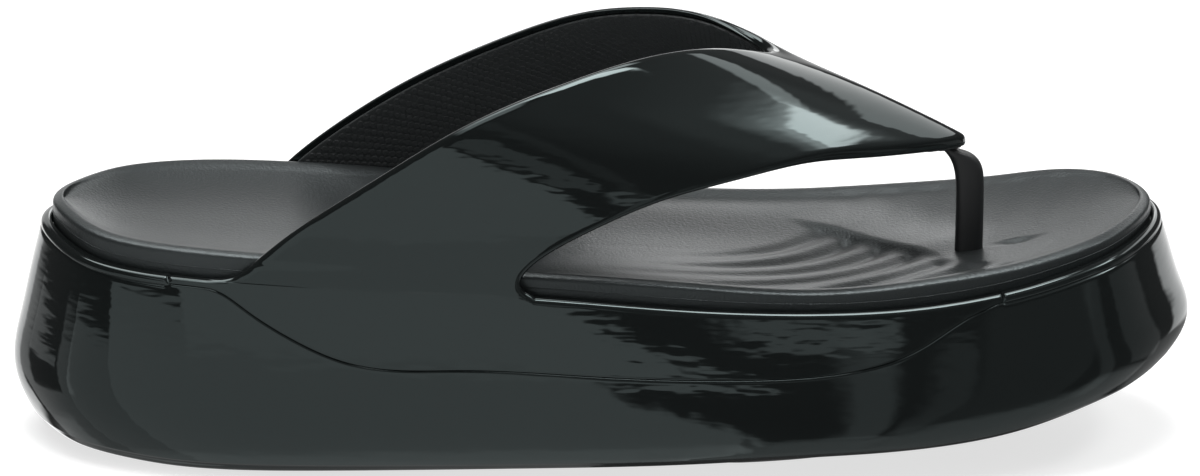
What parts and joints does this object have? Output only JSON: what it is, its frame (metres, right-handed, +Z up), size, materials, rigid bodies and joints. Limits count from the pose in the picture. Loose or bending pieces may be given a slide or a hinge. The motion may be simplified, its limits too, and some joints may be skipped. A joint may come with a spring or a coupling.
{
  "type": "platform flip-flop",
  "caption": "Left platform flip-flop: a wide glossy V strap with flanges let into the sides of a thick rocker sole, a dished matte footbed and a toe post.",
  "frame": {"origin": "middle of the outline in length and width, on the floor", "axes": "+X to the toe, +Y to the outer side of the left foot, +Z up"},
  "size_m": [0.2685, 0.1066, 0.0936],
  "materials": {
    "sole_foam": "glossy moulded foam with a slightly uneven skin",
    "footbed_foam": "matte fine-grained foam",
    "strap_gloss": "glossy patent outer face over a matte lining",
    "post_matte": "matte flexible plastic"
  },
  "bodies": {
    "root": {"sole": "sole_foam", "footbed": "footbed_foam", "upper": "strap_gloss", "toe_post": "post_matte"}
  },
  "joints": []
}
